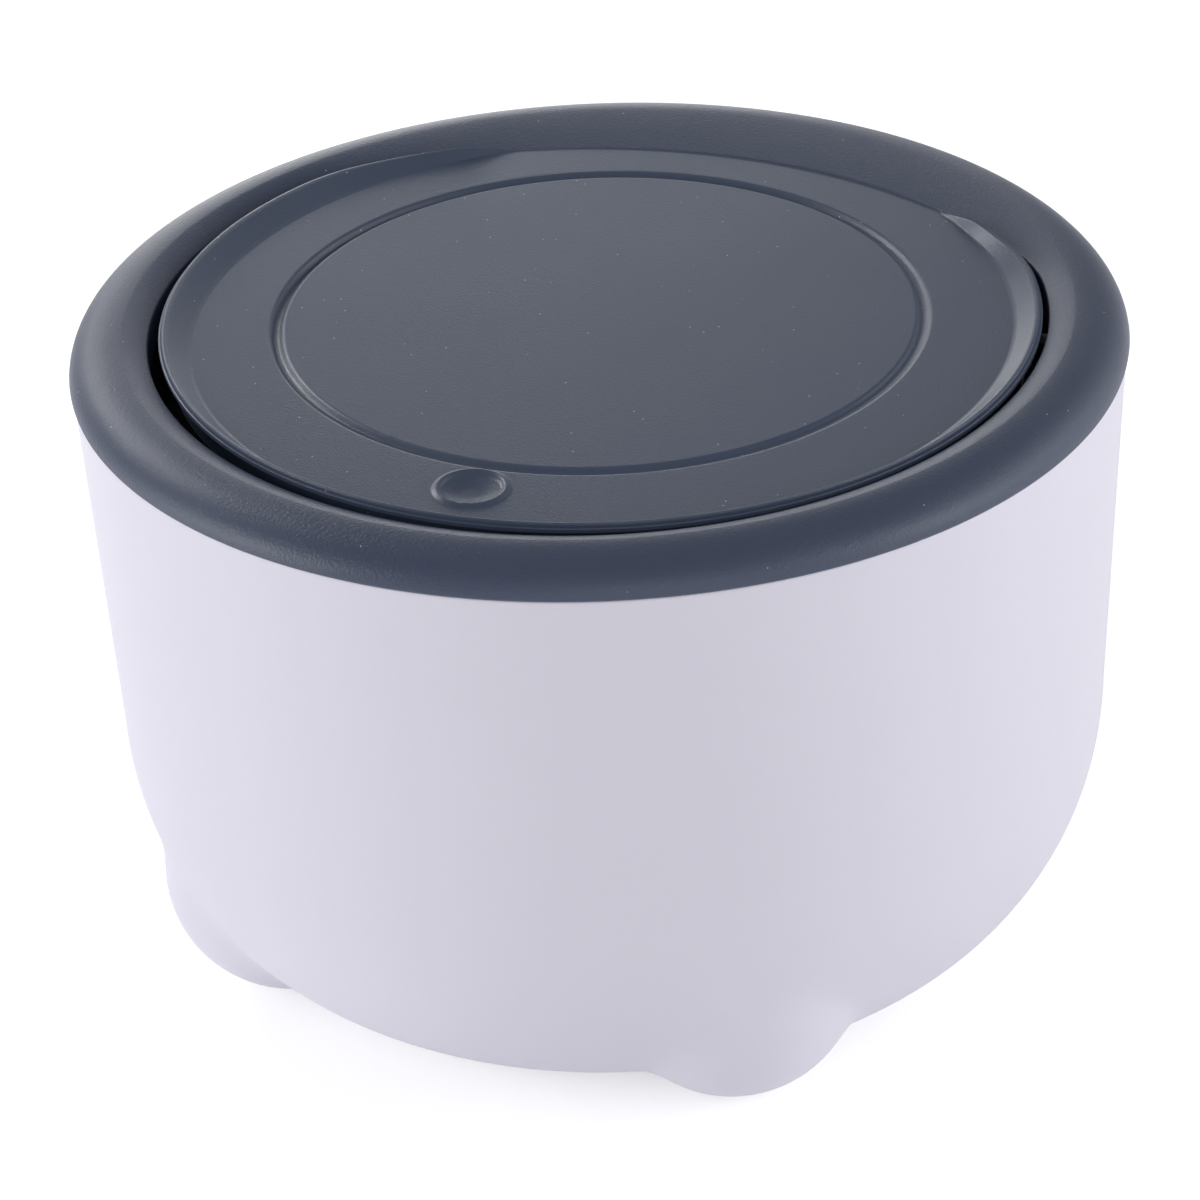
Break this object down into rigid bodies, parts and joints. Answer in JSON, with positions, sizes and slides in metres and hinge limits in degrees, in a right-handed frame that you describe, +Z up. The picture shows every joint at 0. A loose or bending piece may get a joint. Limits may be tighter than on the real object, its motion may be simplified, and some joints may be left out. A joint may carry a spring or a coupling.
{
  "type": "push top countertop bin",
  "caption": "Small round countertop bin with bulged feet and a domed lift-off lid ring whose pressed flap pops open on a rear hinge.",
  "frame": {"origin": "on the table under the middle of the bucket, at the height of the foot pads", "axes": "+Z up, -Y towards the press spot at the front, +X to the right seen from the front; the flap's hinge axis is parallel to X"},
  "size_m": [0.19, 0.19, 0.1243],
  "materials": {
    "pale_shell": "fine satin moulded plastic, pale lavender white",
    "dark_lid": "satin moulded plastic, slate blue-grey",
    "dark_frame": "matt moulded plastic, dark slate",
    "screw_steel": "zinc plated",
    "pin_steel": "ground",
    "spring_wire": "drawn wire",
    "latch_plastic": "matt moulded plastic, grey",
    "latch_white": "slippery acetal, off-white",
    "buffer_rubber": "soft matt rubber"
  },
  "bodies": {
    "bucket": {"bucket": "pale_shell"},
    "lid": {"lid_ring": "dark_lid", "lid_collar": "dark_frame", "collar_screws": "screw_steel", "torsion_spring_left": "spring_wire", "torsion_spring_right": "spring_wire", "latch_housing": "latch_plastic", "latch_base_cap": "latch_plastic", "latch_cam_pin": "spring_wire", "latch_spring": "spring_wire", "latch_screws": "screw_steel", "flap_buffers": "buffer_rubber"},
    "hinge_pins": {"hinge_pin_left": "pin_steel", "hinge_pin_right": "pin_steel"},
    "flap": {"flap_plate": "dark_lid", "striker": "latch_white", "striker_screws": "screw_steel"},
    "plunger": {"latch_plunger": "latch_white"}
  },
  "joints": [
    {"name": "lid_lift", "type": "slide", "parent": "bucket", "child": "lid", "axis": [0, 0, 1], "range_m": [0, 0.05]},
    {"name": "flap_press", "type": "hinge", "parent": "lid", "child": "hinge_pins", "pos_m": [0, 0.016, 0.118], "axis": [-1, 0, 0], "range_deg": [-1.39, 0], "stiffness_Nm_per_rad": 0.03, "springref_deg": 45.84},
    {"name": "flap_open", "type": "hinge", "parent": "hinge_pins", "child": "flap", "pos_m": [0, 0.016, 0.118], "axis": [-1, 0, 0], "range_deg": [0, 75]},
    {"name": "latch_slide", "type": "slide", "parent": "lid", "child": "plunger", "axis": [0, 0, 1], "range_m": [-0.002, 0], "stiffness_N_per_m": 100, "springref_m": 0.004, "deforming": ["latch_spring"]}
  ],
  "couplings": [
    {"joint": "flap_press", "follows": "latch_slide", "rad_per_m": 12.151}
  ]
}
